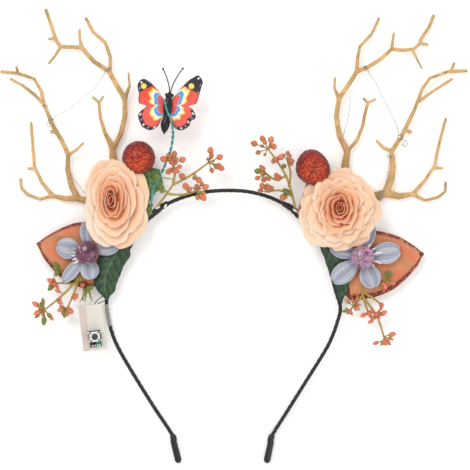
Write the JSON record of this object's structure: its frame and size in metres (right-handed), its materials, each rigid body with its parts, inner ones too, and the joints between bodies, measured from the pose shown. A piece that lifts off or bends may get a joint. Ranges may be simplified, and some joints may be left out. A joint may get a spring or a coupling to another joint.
{
  "type": "reindeer antler headband",
  "caption": "Costume headband with branching antlers, ears, peach roses, seed pods, berry sprays, a butterfly on a wire and a battery box with a push switch.",
  "frame": {"origin": "middle of the footprint on the floor, the headband lying on its back", "axes": "+X to the wearer's left, which is right in the picture; +Y from the hoop's ends to its crown; +Z to the front"},
  "size_m": [0.2572, 0.2498, 0.0225],
  "materials": {
    "black_tape": "matt black wound cloth tape",
    "black_plastic": "satin black plastic",
    "antler_tan": "satin tan modelling clay with peach highlights",
    "rose_peach": "matt peach cloth petals",
    "pod_red": "glossy deep red beads",
    "ear_brown": "dark brown with fine glitter",
    "ear_tan": "matt salmon tan",
    "petal_blue": "matt grey-blue cloth with veins",
    "bead_burgundy": "glossy mottled burgundy",
    "bead_pink": "glossy mottled pink and lilac",
    "berry_coral": "coral and olive berries on olive stems",
    "leaf_dark": "waxy dark green with pale veins",
    "leaf_light": "matt light green",
    "leaf_olive": "matt olive green",
    "box_beige": "beige plastic in clear film",
    "clear_tape": "clear film",
    "board_green": "green circuit board",
    "plate_steel": "bright plated steel",
    "button_grey": "dark grey plastic",
    "wing_print": "printed wings in coral, cream, blue and black",
    "body_black": "matt black",
    "wire_teal": "glossy teal enamel"
  },
  "bodies": {
    "headband": {"headband_hoop": "black_tape", "end_sleeve_left": "black_plastic", "end_sleeve_right": "black_plastic", "binding_wrap_left": "black_tape", "binding_wrap_right": "black_tape", "box_strap": "clear_tape", "antler_upper_left": "antler_tan", "antler_outer_left": "antler_tan", "antler_upper_right": "antler_tan", "antler_outer_right": "antler_tan", "rose_left": "rose_peach", "rose_right": "rose_peach", "seed_pod_left": "pod_red", "seed_pod_right": "pod_red", "ear_left": "ear_brown", "ear_right": "ear_brown", "ear_panel_left": "ear_tan", "ear_panel_right": "ear_tan", "blue_flower_left": "petal_blue", "blue_flower_right": "petal_blue", "flower_bead_left": "bead_burgundy", "flower_bead_right": "bead_pink", "berry_spray_upper_left": "berry_coral", "berry_spray_upper_right": "berry_coral", "berry_spray_lower_left": "berry_coral", "berry_spray_lower_right": "berry_coral", "leaf_dark_left": "leaf_dark", "leaf_dark_right": "leaf_dark", "leaf_light_left": "leaf_light", "leaf_green_right": "leaf_light", "leaf_olive_left": "leaf_olive", "battery_box": "box_beige", "circuit_board": "board_green", "switch_housing": "black_plastic", "switch_plate": "plate_steel", "butterfly_wings": "wing_print", "butterfly_body": "body_black", "butterfly_wire": "wire_teal"},
    "push_button": {"switch_button": "button_grey"}
  },
  "joints": [
    {"name": "switch_press", "type": "slide", "parent": "headband", "child": "push_button", "axis": [0, 0, -1], "range_m": [0, 0.0003], "stiffness_N_per_m": 400}
  ]
}
